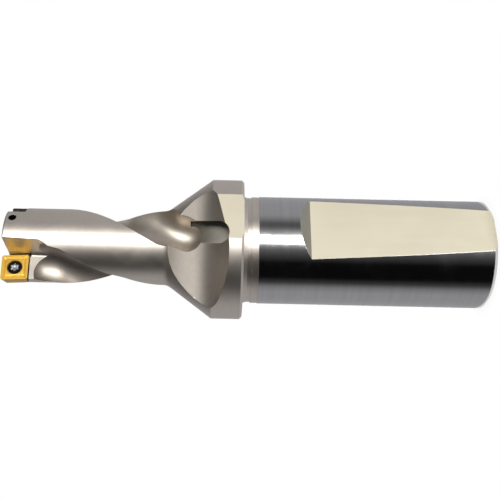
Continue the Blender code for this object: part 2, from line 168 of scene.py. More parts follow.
def cutAll(target, cutters):  # takes every cutter out of the target and throws the cutters away
    for cutter in cutters:
        modifier = target.modifiers.new(cutter.name, "BOOLEAN")
        modifier.operation = "DIFFERENCE"
        modifier.solver = "MANIFOLD"
        modifier.object = cutter
    bpy.context.view_layer.update()
    evaluated = target.evaluated_get(bpy.context.evaluated_depsgraph_get())
    mesh = bpy.data.meshes.new_from_object(evaluated)
    target.modifiers.clear()
    target.data = mesh
    for cutter in cutters:
        bpy.data.objects.remove(cutter)


def finishMesh(piece, sharpAngle):  # to metres, and smooth up to the sharp angle
    sharpAngle = math.radians(sharpAngle)
    bm = bmesh.new()
    bm.from_mesh(piece.data)
    bmesh.ops.remove_doubles(bm, verts=bm.verts, dist=weldGap)
    bmesh.ops.dissolve_degenerate(bm, edges=bm.edges, dist=weldGap)
    bmesh.ops.scale(bm, vec=(mm, mm, mm), verts=bm.verts)
    bm.normal_update()
    for face in bm.faces:
        face.smooth = True
    for edge in bm.edges:
        edge.smooth = len(edge.link_faces) == 2 and edge.calc_face_angle() < sharpAngle
    bm.to_mesh(piece.data)
    bm.free()


# Finishes

def addNode(tree, kind, inputs=None, **settings):
    node = tree.nodes.new(kind)
    for name, value in settings.items():
        setattr(node, name, value)
    for name, value in (inputs or {}).items():
        node.inputs[name].default_value = value
    return node


def newGroup(name, inputs, outputs):
    tree = bpy.data.node_groups.new(name, "ShaderNodeTree")
    for label, kind, value in inputs:
        socket = tree.interface.new_socket(label, in_out="INPUT", socket_type=kind)
        if value is not None:
            socket.default_value = value
    for label, kind in outputs:
        tree.interface.new_socket(label, in_out="OUTPUT", socket_type=kind)
    return tree, tree.nodes.new("NodeGroupInput"), tree.nodes.new("NodeGroupOutput")


def makeGrainGroup():  # fine tool marks: noise stretched along one direction
    tree, given, result = newGroup(
        "toolMarks",
        [
            ("Vector", "NodeSocketVector", None),
            ("Stretch", "NodeSocketVector", (1.0, 1.0, 1.0)),
            ("Scale", "NodeSocketFloat", 4000.0),
            ("Coarse Share", "NodeSocketFloat", 0.3),
        ],
        [("Height", "NodeSocketFloat"), ("Mask", "NodeSocketFloat")],
    )
    mapping = addNode(tree, "ShaderNodeVectorMath", operation="MULTIPLY")
    fine = addNode(tree, "ShaderNodeTexNoise", {"Detail": 3.0, "Roughness": 0.6})
    coarseScale = addNode(tree, "ShaderNodeMath", {1: 0.16}, operation="MULTIPLY")
    coarse = addNode(tree, "ShaderNodeTexNoise", {"Detail": 2.0, "Roughness": 0.5})
    blend = addNode(tree, "ShaderNodeMix")
    contrast = addNode(tree, "ShaderNodeMapRange", {"From Min": 0.35, "From Max": 0.65})
    link = tree.links.new
    link(given.outputs["Vector"], mapping.inputs[0])
    link(given.outputs["Stretch"], mapping.inputs[1])
    link(given.outputs["Scale"], fine.inputs["Scale"])
    link(given.outputs["Scale"], coarseScale.inputs[0])
    link(mapping.outputs[0], fine.inputs["Vector"])
    link(mapping.outputs[0], coarse.inputs["Vector"])
    link(coarseScale.outputs[0], coarse.inputs["Scale"])
    link(given.outputs["Coarse Share"], blend.inputs[0])
    link(fine.outputs["Fac"], blend.inputs[2])
    link(coarse.outputs["Fac"], blend.inputs[3])
    link(blend.outputs[0], result.inputs["Height"])
    link(coarse.outputs["Fac"], contrast.inputs[0])
    link(contrast.outputs[0], result.inputs["Mask"])
    return tree


def makeHandlingGroup():  # smudges from handling, and a few hairline scratches
    tree, given, result = newGroup(
        "handlingMarks",
        [
            ("Vector", "NodeSocketVector", None),
            ("Smudge Scale", "NodeSocketFloat", 120.0),
            ("Scratch Scale", "NodeSocketFloat", 60.0),
        ],
        [("Smudge", "NodeSocketFloat"), ("Scratch", "NodeSocketFloat")],
    )
    smudge = addNode(tree, "ShaderNodeTexNoise", {"Detail": 5.0, "Roughness": 0.55, "Distortion": 0.8})
    smudgeRange = addNode(tree, "ShaderNodeMapRange", {"From Min": 0.42, "From Max": 0.68})
    bent = addNode(tree, "ShaderNodeTexNoise", {"Detail": 1.0})
    swayBy = {1: (0.006, 0.006, 0.006)}
    sway = addNode(tree, "ShaderNodeVectorMath", swayBy, operation="MULTIPLY_ADD")
    stretchBy = {"Rotation": (0.5, 0.9, 0.3), "Scale": (1.0, 14.0, 14.0)}
    stretch = addNode(tree, "ShaderNodeMapping", stretchBy)
    lines = addNode(tree, "ShaderNodeTexVoronoi", feature="DISTANCE_TO_EDGE")
    lineRange = {"From Min": 0.0, "From Max": 0.02, "To Min": 1.0, "To Max": 0.0}
    thin = addNode(tree, "ShaderNodeMapRange", lineRange)
    patch = addNode(tree, "ShaderNodeMapRange", {"From Min": 0.52, "From Max": 0.6})
    keep = addNode(tree, "ShaderNodeMath", operation="MULTIPLY")
    link = tree.links.new
    link(given.outputs["Vector"], smudge.inputs["Vector"])
    link(given.outputs["Smudge Scale"], smudge.inputs["Scale"])
    link(smudge.outputs["Fac"], smudgeRange.inputs[0])
    link(smudgeRange.outputs[0], result.inputs["Smudge"])
    link(given.outputs["Vector"], bent.inputs["Vector"])
    link(given.outputs["Smudge Scale"], bent.inputs["Scale"])
    link(bent.outputs["Color"], sway.inputs[0])
    link(given.outputs["Vector"], sway.inputs[2])
    link(sway.outputs[0], stretch.inputs["Vector"])
    link(stretch.outputs[0], lines.inputs["Vector"])
    link(given.outputs["Scratch Scale"], lines.inputs["Scale"])
    link(lines.outputs["Distance"], thin.inputs[0])
    link(bent.outputs["Fac"], patch.inputs[0])
    link(thin.outputs[0], keep.inputs[0])
    link(patch.outputs[0], keep.inputs[1])
    link(keep.outputs[0], result.inputs["Scratch"])
    return tree


def makeEdgeGroup():  # corners broken by a small rounding, and brighter there as edge wear and a painted highlight
    tree, given, result = newGroup(
        "roundedEdgesWearAndHighlight",
        [
            ("Width", "NodeSocketFloat", 0.0001),
            ("Vector", "NodeSocketVector", None),
        ],
        [("Normal", "NodeSocketVector"), ("Mask", "NodeSocketFloat")],
    )
    rounding = addNode(tree, "ShaderNodeBevel", samples=6)
    surface = addNode(tree, "ShaderNodeNewGeometry")
    compare = addNode(tree, "ShaderNodeVectorMath", operation="DOT_PRODUCT")
    away = addNode(tree, "ShaderNodeMapRange", {"From Min": 0.995, "From Max": 0.9})
    uneven = addNode(tree, "ShaderNodeTexNoise", {"Scale": 900.0, "Detail": 2.0})
    unevenRange = addNode(tree, "ShaderNodeMapRange", {"From Min": 0.3, "From Max": 0.6})
    keep = addNode(tree, "ShaderNodeMath", operation="MULTIPLY")
    link = tree.links.new
    link(given.outputs["Width"], rounding.inputs["Radius"])
    link(given.outputs["Vector"], uneven.inputs["Vector"])
    link(rounding.outputs["Normal"], compare.inputs[0])
    link(surface.outputs["Normal"], compare.inputs[1])
    link(compare.outputs["Value"], away.inputs[0])
    link(uneven.outputs["Fac"], unevenRange.inputs[0])
    link(away.outputs[0], keep.inputs[0])
    link(unevenRange.outputs[0], keep.inputs[1])
    link(keep.outputs[0], result.inputs["Mask"])
    link(rounding.outputs["Normal"], result.inputs["Normal"])
    return tree


def metalFinish(name, look):
    material = bpy.data.materials.new(name)
    material.use_nodes = True
    tree = material.node_tree
    link = tree.links.new
    shader = tree.nodes["Principled BSDF"]
    shader.inputs["Metallic"].default_value = look["metallic"]
    coords = addNode(tree, "ShaderNodeTexCoord")
    marksLook = {
        "Stretch": look["stretch"],
        "Scale": look["grainScale"],
        "Coarse Share": look["coarseShare"],
    }
    marks = addNode(tree, "ShaderNodeGroup", marksLook, node_tree=toolMarks)
    smudgeLook = {"Smudge Scale": look["smudgeScale"]}
    handling = addNode(tree, "ShaderNodeGroup", smudgeLook, node_tree=handlingMarks)
    edgeLook = {"Width": look["edgeWidth"] * mm}
    edges = addNode(tree, "ShaderNodeGroup", edgeLook, node_tree=roundedEdgesWearAndHighlight)
    for node in (marks, handling, edges):
        link(coords.outputs["Object"], node.inputs["Vector"])

    tones = {6: (*look["colour"], 1.0), 7: (*look["shade"], 1.0)}  # mottled, and brighter on the edges as edge wear and a painted highlight
    tone = addNode(tree, "ShaderNodeMix", tones, data_type="RGBA")
    wearAndHighlightMix = addNode(tree, "ShaderNodeMix", {7: (*look["edgeWearAndHighlightColour"], 1.0)}, data_type="RGBA")
    toneShare = addNode(tree, "ShaderNodeMath", {1: look["mottle"]}, operation="MULTIPLY")
    wearAndHighlightAmount = addNode(tree, "ShaderNodeMath", {1: look["edgeWearAndHighlightShare"]}, operation="MULTIPLY")
    link(marks.outputs["Mask"], toneShare.inputs[0])
    link(toneShare.outputs[0], tone.inputs[0])
    link(edges.outputs["Mask"], wearAndHighlightAmount.inputs[0])
    link(wearAndHighlightAmount.outputs[0], wearAndHighlightMix.inputs[0])
    link(tone.outputs[2], wearAndHighlightMix.inputs[6])
    link(wearAndHighlightMix.outputs[2], shader.inputs["Base Color"])

    smooth = look["roughness"]
    roughRange = {"To Min": smooth, "To Max": smooth + look["smudgeRoughness"]}
    rough = addNode(tree, "ShaderNodeMapRange", roughRange)
    link(handling.outputs["Smudge"], rough.inputs[0])
    link(rough.outputs[0], shader.inputs["Roughness"])

    grainSize = {"Strength": 1.0, "Distance": look["grainHeight"] * mm}
    grainBump = addNode(tree, "ShaderNodeBump", grainSize)
    scratchSize = {"Strength": 1.0, "Distance": look["scratchDepth"] * mm}
    scratchBump = addNode(tree, "ShaderNodeBump", scratchSize, invert=True)
    link(marks.outputs["Height"], grainBump.inputs["Height"])
    link(handling.outputs["Scratch"], scratchBump.inputs["Height"])
    link(edges.outputs["Normal"], grainBump.inputs["Normal"])
    link(grainBump.outputs["Normal"], scratchBump.inputs["Normal"])
    link(scratchBump.outputs["Normal"], shader.inputs["Normal"])
    return material


toolMarks = makeGrainGroup()
handlingMarks = makeHandlingGroup()
roundedEdgesWearAndHighlight = makeEdgeGroup()

satinLook = {
    "colour": (0.74, 0.67, 0.59),
    "shade": (0.66, 0.59, 0.51),
    # lighter colour on the edges: edge wear and a painted highlight
    "edgeWearAndHighlightColour": (0.86, 0.80, 0.70),
    "metallic": 1.0,
    "roughness": 0.39,
    "smudgeRoughness": 0.05,
    "stretch": (1.0, 1.0, 1.0),
    "grainScale": 7000.0,
    "coarseShare": 0.35,
    "grainHeight": 0.0012,
    "scratchDepth": 0.001,
    "smudgeScale": 130.0,
    "mottle": 0.35,
    "edgeWidth": 0.12,
    "edgeWearAndHighlightShare": 0.5,
}
looks = {  # what differs from the satin steel
    "groundSteel": {
        "colour": (0.57, 0.56, 0.545),
        "shade": (0.50, 0.49, 0.48),
        "edgeWearAndHighlightColour": (0.80, 0.79, 0.76),
        "roughness": 0.12,
        "smudgeRoughness": 0.06,
        "stretch": (0.02, 0.02, 1.0),
        "grainScale": 5000.0,
        "grainHeight": 0.0006,
        "mottle": 0.5,
    },
    "turnedSteel": {
        "roughness": 0.34,
        "stretch": (0.02, 0.02, 1.0),
        "grainScale": 5000.0,
        "grainHeight": 0.002,
    },
    "satinSteel": {},
    "milledFlatSteel": {
        "colour": (0.71, 0.65, 0.50),
        "shade": (0.65, 0.59, 0.45),
        "metallic": 0.5,
        "roughness": 0.5,
        "stretch": (1.0, 1.0, 0.08),
        "grainScale": 3000.0,
        "grainHeight": 0.0015,
    },
    # dark colour of the run-out channel: milled steel, partly darkened as painted shade of the recess
    "runOutSteelWithPaintedShade": {
        "colour": (0.27, 0.25, 0.21),
        "shade": (0.22, 0.205, 0.17),
        "roughness": 0.42,
    },
    # darker colour of the wide cut across cone and flange: milled steel, partly darkened as painted
    # shade
    "milledSteelWithPaintedShade": {
        "colour": (0.43, 0.39, 0.34),
        "shade": (0.37, 0.335, 0.29),
        "metallic": 0.85,
        "roughness": 0.48,
    },
    # flute colour darker than the lands: steel, partly darkened as painted shade inside the flutes
    "fluteSteelWithPaintedShade": {
        "colour": (0.62, 0.555, 0.475),
        "shade": (0.55, 0.495, 0.42),
        "roughness": 0.42,
        "stretch": (1.0, 1.0, 0.3),
    },
    "pocketSteel": {
        "colour": (0.6, 0.55, 0.48),
        "roughness": 0.4,
    },
    # near black for holes and the side slot: painted shade in these recesses
    "paintedShadeBlack": {
        "colour": (0.06, 0.055, 0.05),
        "shade": (0.03, 0.03, 0.03),
        "roughness": 0.5,
    },
    # darker colour for the flat's end wall, chosen by which way its faces point: painted shade
    "flatEndPaintedShade": {
        "colour": (0.36, 0.35, 0.31),
        "shade": (0.3, 0.29, 0.26),
        "roughness": 0.45,
    },
    # light grey inside the screw's dark socket: a painted highlight
    "socketPaintedHighlight": {
        "colour": (0.5, 0.5, 0.5),
        "roughness": 0.3,
    },
    "goldCoating": {
        "colour": (0.95, 0.58, 0.09),
        "shade": (0.86, 0.48, 0.06),
        "edgeWearAndHighlightColour": (1.0, 0.78, 0.28),
        "metallic": 0.6,
        "roughness": 0.36,
        "edgeWidth": 0.05,
        "mottle": 0.3,
    },
    "darkScrewSteel": {
        "colour": (0.035, 0.035, 0.04),
        "shade": (0.02, 0.02, 0.02),
        "edgeWearAndHighlightColour": (0.5, 0.5, 0.5),
        "roughness": 0.25,
        "edgeWidth": 0.05,
    },
}
finishes = {name: metalFinish(name, {**satinLook, **look}) for name, look in looks.items()}
print("finishes made:", len(finishes))


# Drill body

bodySizes = {
    "drillDiameter": 18.0,
    "bodyRelief": 0.35,
    "bodyLength": 36.8,
    "noseChamfer": 0.25,
    "coneAngle": 36.0,
    "coneFillet": 3.0,  # where the cone meets the body
    "filletSteps": 8,
    "flangeDiameter": 32.4,
    "flangeLength": 7.1,
    "flangeChamfer": 0.5,
    "shankDiameter": 25.0,
    "shankLength": 56.0,
    "shankChamfer": 0.75,
    "neckGrooveWidth": 1.8,
    "neckGrooveDepth": 0.35,
    "neckBandWidth": 1.6,
    "neckBandDepth": 0.15,
    "ringSpacing": 2.5,  # rings of the mesh along the turned surface
    "steps": 360,  # facets round it
    "sharpAngle": 12.0,  # an edge that bends more is drawn sharp
}
bodyRadius = bodySizes["drillDiameter"] / 2 - bodySizes["bodyRelief"]
shankRadius = bodySizes["shankDiameter"] / 2
flangeRadius = bodySizes["flangeDiameter"] / 2
shankLength = bodySizes["shankLength"]
flangeFront = shankLength + bodySizes["flangeLength"]
coneTop = flangeFront + (flangeRadius - bodyRadius) / math.tan(math.radians(bodySizes["coneAngle"]))
front = coneTop + bodySizes["bodyLength"]


def bodyProfile():
    grooveRear = shankLength - bodySizes["neckGrooveWidth"]
    bandRear = grooveRear - bodySizes["neckBandWidth"]
    bandRadius = shankRadius - bodySizes["neckBandDepth"]
    grooveRadius = shankRadius - bodySizes["neckGrooveDepth"]
    flangeChamfer = bodySizes["flangeChamfer"]
    shankChamfer = bodySizes["shankChamfer"]
    noseChamfer = bodySizes["noseChamfer"]
    coneAngle = math.radians(bodySizes["coneAngle"])
    fillet = bodySizes["coneFillet"]
    filletTop = coneTop + fillet * math.tan(coneAngle / 2)
    swings = evenSteps(0, coneAngle, bodySizes["filletSteps"])
    return [
        (0, front),
        (bodyRadius - noseChamfer, front),
        (bodyRadius, front - noseChamfer),
        *((bodyRadius + fillet * (1 - math.cos(a)), filletTop - fillet * math.sin(a)) for a in swings),
        (flangeRadius, flangeFront),
        (flangeRadius, shankLength + flangeChamfer),
        (flangeRadius - flangeChamfer, shankLength),
        (shankRadius, shankLength),
        (grooveRadius, shankLength - bodySizes["neckGrooveWidth"] / 2),
        (grooveRadius, grooveRear),
        (bandRadius, grooveRear),
        (bandRadius, bandRear),
        (shankRadius, bandRear),
        (shankRadius, shankChamfer),
        (shankRadius - shankChamfer, 0),
        (0, 0),
    ]


def withRings(profile):  # adds mesh rings on the long stretches
    points = [profile[0]]
    for (r0, z0), (r1, z1) in zip(profile, profile[1:]):
        count = max(1, round(abs(z1 - z0) / bodySizes["ringSpacing"]))
        for step in range(1, count + 1):
            share = step / count
            points.append((r0 + (r1 - r0) * share, z0 + (z1 - z0) * share))
    return points


def bodyFinishAt(face):
    height = face.center.z
    bandRear = shankLength - bodySizes["neckGrooveWidth"] - bodySizes["neckBandWidth"]
    if height < bandRear:
        return "groundSteel"
    if height < shankLength - 0.01:
        return "turnedSteel"
    return "satinSteel"


def turnedBody():
    profile = withRings(bodyProfile())
    body = turnedObject("drill_body_finished", profile, bodySizes["steps"], "satinSteel")
    names = list(finishes)
    for face in body.data.polygons:
        face.material_index = names.index(bodyFinishAt(face))
    return body


# Flutes and gullets, cut twice, half a turn apart

fluteSizes = {
    "straightLength": 8.1,
    "helixLead": 91.9,
    "helixOverrun": 4.0,  # past the cone's top, where the turning stops
    "helixEase": 2.5,  # length over which the turning starts and stops
    "coreThickness": 4.4,
    "frontRadius": 5.6,
    "middleRadius": 6.15,
    "rearRadius": 7.0,
    "endRadius": 4.5,
    "lead": 3.7,  # degrees that the wide rear runs ahead
    "frontLength": 14.0,  # behind the front face, where the middle radius is reached
    "rearStart": 22.0,  # behind the front face, as the next one is
    "rearFull": 28.0,
    "narrowStart": -3.0,  # past the cone's top, as the next one is
    "end": 3.2,
    "tailLength": 5.4,  # of the round end
    "angle": -37.8,
    "noseHeight": 99.6,  # where the flute starts to round off to the tip
    "gulletWall": 2.4,
    "gulletFillet": 0.6,
    "gulletFilletSteps": 8,
    "gulletSteps": 24,
    "gulletOverrun": 6.2,
    "gulletLeave": 2.4,  # how far the gullet's corner moves out of the tool on its way
    "gulletLeaveStart": 8.2,
    "seatAngle": -62.0,
    "seatRise": 0.2,
    "sideSlotAngle": 79.0,
    "sideSlotWidth": 5.0,
    "sideSlotDepth": 1.0,
    "sideSlotLength": 4.2,
    "overcut": 2.0,
    "segments": 96,
    "steps": 72,
    "endSteps": 20,
    "endSweep": 88.0,  # how far the round ends are followed
}
helixStart = front - fluteSizes["straightLength"]
seatRise = fluteSizes["seatRise"]
overcut = fluteSizes["overcut"]


def eased(distance):  # the distance, or nothing where it is negative, with a soft start
    ease = fluteSizes["helixEase"]
    if abs(distance) >= ease:
        return max(distance, 0.0)
    return (distance + ease) ** 2 / (4 * ease)


def helixAngle(height, start=helixStart):  # straight ahead of its start and past the cone's top
    drop = eased(start - height) - eased(coneTop - fluteSizes["helixOverrun"] - height)
    return -2 * math.pi * drop / fluteSizes["helixLead"]


def seatFrame(turn):  # outward, up out of the seat, and along the tool
    seatAngle = math.radians(fluteSizes["seatAngle"]) + turn
    return direction(seatAngle), direction(seatAngle + math.pi / 2), alongTool


def sweepDown(bm, face, heights, asideAt=None):  # turned as the helix turns, and moved aside
    aside = asideAt or (lambda height: Vector())
    for step, (upper, lower) in enumerate(zip(heights, heights[1:])):
        above = face
        face = extruded(bm, above)
        turn = helixAngle(lower) - helixAngle(upper)
        bmesh.ops.translate(bm, vec=-aside(upper), verts=face.verts)
        bmesh.ops.rotate(bm, cent=(0, 0, 0), matrix=Matrix.Rotation(turn, 3, "Z"), verts=face.verts)
        bmesh.ops.translate(bm, vec=aside(lower) + alongTool * (lower - upper), verts=face.verts)
        if step > 0:
            bmesh.ops.delete(bm, geom=[above], context="FACES_ONLY")


def smoothShare(start, end, height):  # 0 at the first height, 1 at the second
    share = min(max((height - start) / (end - start), 0.0), 1.0)
    return share * share * (3 - 2 * share)


def fluteBodyRadius(height):  # widens to the rear and narrows over the cone
    sizes = fluteSizes
    widened = smoothShare(sizes["noseHeight"], front - sizes["frontLength"], height)
    radius = sizes["frontRadius"]
    radius += (sizes["middleRadius"] - radius) * widened
    radius += (sizes["rearRadius"] - radius) * rearShare(height)
    narrowed = smoothShare(coneTop - sizes["narrowStart"], coneTop - sizes["end"], height)
    return radius + (sizes["endRadius"] - radius) * narrowed


def rearShare(height):
    return smoothShare(front - fluteSizes["rearStart"], front - fluteSizes["rearFull"], height)


def fluteRadius(height):  # closes round at both ends
    tailStart = coneTop - fluteSizes["end"]
    past = max(height - fluteSizes["noseHeight"], 0.0) / fluteSizes["frontRadius"]
    past += max(tailStart - height, 0.0) / fluteSizes["tailLength"]
    return fluteBodyRadius(height) * math.sqrt(1 - past * past)


def fluteCentre(turn, height):
    distance = fluteSizes["coreThickness"] / 2 + fluteBodyRadius(height)
    angle = math.radians(fluteSizes["angle"] + fluteSizes["lead"] * rearShare(height))
    helix = helixAngle(height, fluteSizes["noseHeight"])
    return direction(angle + turn + helix) * distance + alongTool * height


def fluteHeights():  # close together where the ends round off
    sizes = fluteSizes
    swings = evenSteps(math.radians(sizes["endSweep"]), 0, sizes["endSteps"])
    tailStart = coneTop - sizes["end"]
    heights = [sizes["noseHeight"] + sizes["frontRadius"] * math.sin(swing) for swing in swings]
    heights += evenSteps(sizes["noseHeight"], tailStart, sizes["steps"])[1:]
    swings = reversed(swings[:-1])
    return heights + [tailStart - sizes["tailLength"] * math.sin(swing) for swing in swings]


def fluteCutters(turn):
    heights = fluteHeights()
    bm = bmesh.new()
    circle = bmesh.ops.create_circle(
        bm,
        cap_ends=True,
        radius=fluteRadius(heights[0]),
        segments=fluteSizes["segments"],
        matrix=Matrix.Translation(fluteCentre(turn, heights[0])),
    )
    face = circle["verts"][0].link_faces[0]
    for step, (upper, lower) in enumerate(zip(heights, heights[1:])):
        above = face
        face = extruded(bm, above)
        grow = fluteRadius(lower) / fluteRadius(upper)
        space = Matrix.Translation(-fluteCentre(turn, upper))
        bmesh.ops.scale(bm, vec=(grow, grow, 1), space=space, verts=face.verts)
        shift = fluteCentre(turn, lower) - fluteCentre(turn, upper)
        bmesh.ops.translate(bm, vec=shift, verts=face.verts)
        if step > 0:
            bmesh.ops.delete(bm, geom=[above], context="FACES_ONLY")
    # the flutes' darker colour is partly painted shade
    return [meshObject("flute", bm, "fluteSteelWithPaintedShade"), gulletCutter(turn), sideSlotCutter(turn)]


def gulletCutter(turn):
    outward, upward, along = seatFrame(turn)
    reach = bodySizes["drillDiameter"] / 2
    top = front + overcut
    bm = bmesh.new()
    square = bmesh.ops.create_grid(bm, x_segments=1, y_segments=1, size=reach / 2)["verts"]
    wall = fluteSizes["gulletWall"]
    middle = outward * (wall + reach / 2) + upward * (seatRise + reach / 2) + along * top
    place = Matrix.Translation(middle) @ axes(outward, upward, along)
    bmesh.ops.transform(bm, matrix=place, verts=square)
    root = min(bm.verts, key=lambda vert: vert.co.xy.length)
    roundCorners(bm, [root], fluteSizes["gulletFillet"], fluteSizes["gulletFilletSteps"])
    leaveStart = front - fluteSizes["gulletLeaveStart"]
    end = helixStart - fluteSizes["gulletOverrun"]

    def asideAt(height):  # along the diagonal of the gullet's corner
        leave = fluteSizes["gulletLeave"] * smoothShare(leaveStart, end, height)
        diagonal = math.radians(fluteSizes["seatAngle"]) + math.pi / 4
        return direction(diagonal + turn + helixAngle(height)) * leave

    heights = [top] + evenSteps(leaveStart, end, fluteSizes["gulletSteps"])
    sweepDown(bm, bm.faces[:][0], heights, asideAt)
    return meshObject("gullet", bm, "pocketSteel")


def sideSlotCutter(turn):
    outward = direction(math.radians(fluteSizes["sideSlotAngle"]) + turn)
    across = alongTool.cross(outward)
    depth = fluteSizes["sideSlotDepth"] + overcut
    length = fluteSizes["sideSlotLength"] + overcut
    size = (fluteSizes["sideSlotWidth"], depth, length)
    middle = (
        outward * (bodyRadius + (overcut - fluteSizes["sideSlotDepth"]) / 2)
        + alongTool * (front + (overcut - fluteSizes["sideSlotLength"]) / 2)
    )
    place = Matrix.Translation(middle) @ axes(across, outward, across.cross(outward))
    # the side slot is coloured near black as painted shade
    return boxObject("sideSlot", size, "paintedShadeBlack", place)


# Run-out of the flutes across cone and flange

runOutSizes = {
    "flangeRing": 3.2,
    "floor": 7.2,
    "flat": 3.0,
    "radius": 12.0,
    "sweep": 50.0,
    "wallAngle": 65.0,
    "fillet": 6.5,
    "filletSteps": 16,
    "arcSteps": 40,
    "channelWidth": 4.95,
    "channelOffset": 3.83,
    "channelDepth": 1.7,
    "channelStart": 5.3,  # past the cone's top
    "channelEndSteps": 48,
    "rampPower": 1.6,  # 1 is straight, more is hollow
    "rampSteps": 16,
    "floorReach": 0.1,  # corners this close to the channel's floor are its corners
    "snap": 0.001,
    "bow": 200.0,  # radius of the wide cut's hollow across the tool
    "bowSteps": 24,
}


def runOutCutters(turn):
    sizes = runOutSizes
    wallAngle = math.radians(sizes["wallAngle"])
    ringTop = shankLength + sizes["flangeRing"]
    foot = ringTop + (flangeRadius - sizes["floor"]) / math.tan(wallAngle)
    reach = flangeRadius + overcut
    outward = direction(turn)
    across = direction(turn + math.pi / 2)

    filletX = foot + sizes["fillet"] * math.tan(wallAngle / 2)
    filletY = sizes["floor"] + sizes["fillet"]
    points = [(foot - (reach - sizes["floor"]) / math.tan(wallAngle), reach)]
    for swing in evenSteps(wallAngle, 0, sizes["filletSteps"]):
        x = filletX - sizes["fillet"] * math.sin(swing)
        points.append((x, filletY - sizes["fillet"] * math.cos(swing)))
    arcStart = foot + sizes["flat"]
    for swing in evenSteps(0, math.radians(sizes["sweep"]), sizes["arcSteps"]):
        x = arcStart + sizes["radius"] * math.sin(swing)
        points.append((x, sizes["floor"] + sizes["radius"] * (1 - math.cos(swing))))
    points.append((points[-1][0], reach))
    turnAcross = axes(alongTool, outward, alongTool.cross(outward))
    # the wide cut's darker colour is partly painted shade
    scallop = outlineObject("scallop", points, reach, "milledSteelWithPaintedShade", turnAcross)
    bowAcross(scallop, across, outward)

    half = sizes["channelWidth"] / 2
    end = ringTop + half
    start = coneTop - sizes["channelStart"]
    channel = [(half, start), (half, end)]
    for swing in evenSteps(0, math.pi, sizes["channelEndSteps"])[1:]:
        channel.append((half * math.cos(swing), end - half * math.sin(swing)))
    channel.append((-half, start))
    bottom = sizes["floor"] - sizes["channelDepth"]
    middle = across * sizes["channelOffset"] + outward * (bottom + reach) / 2
    place = Matrix.Translation(middle) @ axes(across, alongTool, across.cross(alongTool))
    # the channel's dark colour is partly painted shade
    slot = outlineObject("channel", channel, (reach - bottom) / 2, "runOutSteelWithPaintedShade", place)
    curveFloor(slot, outward, bottom, ringTop, start)
    return [scallop, slot]


def curveFloor(slot, outward, bottom, low, high):  # a ramp from the flute's floor up to the flange
    bm = bmesh.new()
    bm.from_mesh(slot.data)
    for height in evenSteps(low, high, runOutSizes["rampSteps"])[:-1]:
        bmesh.ops.bisect_plane(
            bm,
            geom=bm.verts[:] + bm.edges[:] + bm.faces[:],
            dist=runOutSizes["snap"],
            plane_co=alongTool * height,
            plane_no=alongTool,
        )
    drop = bottom - fluteSizes["coreThickness"] / 2
    for vert in bm.verts:
        if vert.co.dot(outward) < bottom + runOutSizes["floorReach"]:
            share = max((vert.co.z - low) / (high - low), 0.0)
            vert.co -= outward * drop * share ** runOutSizes["rampPower"]
    bm.to_mesh(slot.data)
    bm.free()


def bowAcross(target, across, outward):  # lifts both sides, so that the cut is hollow
    bm = bmesh.new()
    bm.from_mesh(target.data)
    crossing = [edge for edge in bm.edges if abs((edge.verts[0].co - edge.verts[1].co).dot(across)) > 1]
    bmesh.ops.subdivide_edges(bm, edges=crossing, cuts=runOutSizes["bowSteps"], use_grid_fill=True)
    for vert in bm.verts:
        vert.co += outward * vert.co.dot(across) ** 2 / (2 * runOutSizes["bow"])
    bm.to_mesh(target.data)
    bm.free()


# Flats for the holder's screws

flatSizes = {
    "angle": 29.0,
    "length": 41.0,
    "depth": 2.5,
    "incline": 2.0,
    "endAngle": 45.0,
    "endSlope": (0.5, 0.9),  # how much the end wall faces along the tool; there the colour is darkened as painted shade
    "flangeDepth": 1.0,
}


def flatCutters():
    outward = direction(math.radians(flatSizes["angle"]))
    turnAcross = axes(alongTool, outward, alongTool.cross(outward))
    low = shankRadius - flatSizes["depth"]
    reach = shankRadius + overcut
    length = flatSizes["length"]
    points = [
        (-overcut, low + (length + overcut) * math.tan(math.radians(flatSizes["incline"]))),
        (length, low),
        (length + (reach - low) / math.tan(math.radians(flatSizes["endAngle"])), reach),
        (-overcut, reach),
    ]
    clampingFlat = outlineObject("clampingFlat", points, shankRadius, "milledFlatSteel", turnAcross)
    least, most = flatSizes["endSlope"]
    # faces turned along the tool get the darker colour: painted shade
    for face in clampingFlat.data.polygons:
        if least < abs(face.normal.z) < most:
            face.material_index = list(finishes).index("flatEndPaintedShade")

    low = flangeRadius - flatSizes["flangeDepth"]
    reach = flangeRadius + overcut
    ahead = flangeFront + overcut
    behind = shankLength - overcut
    points = [(behind, low), (ahead, low), (ahead, reach), (behind, reach)]
    flangeFlat = outlineObject("flangeFlat", points, flangeRadius, "milledFlatSteel", turnAcross)
    return [clampingFlat, flangeFlat]


# Insert pockets and coolant holes

insertSizes = {
    "size": 6.2,
    "thickness": 3.1,
    "clearance": 11.0,
    "corner": 0.45,
    "land": 0.6,
    "grooveWidth": 0.4,
    "grooveDepth": 0.14,
    "tilt": 3.0,
    "overhang": 1.4,
    "centralOverlap": 0.4,
    "seatGap": 0.3,
    "cornerRelief": 0.6,
    "pocketLift": 0.5,
    "chipClearance": 0.25,
    "cornerSteps": 12,
    "grooveSteps": 8,
    "reliefSteps": 32,
    "holeSteps": 48,
    "sharpAngle": 20.0,
}
screwSizes = {
    "headDiameter": 3.2,
    "diameter": 1.4,
    "length": 5.4,
    "headAngle": 30.0,
    "rim": 0.2,
    "recess": 0.12,
    "gap": 0.2,
    "socketRadius": 0.85,
    "socketLobe": 0.13,
    "socketLobes": 6,
    "socketDepth": 0.8,
    "socketSteps": 96,
    "steps": 96,
    "sharpAngle": 25.0,
}
coolantSizes = {
    "inletDiameter": 8.0,
    "inletDepth": 60.0,
    "inletPointAngle": 59.0,
    "diameter": 1.6,
    "radius": 6.5,
    "angle": 75.0,
    "inletSteps": 96,
    "steps": 32,
    "rings": 24,
}
halfInsert = insertSizes["size"] / 2
insertCentre = front + insertSizes["overhang"] - halfInsert
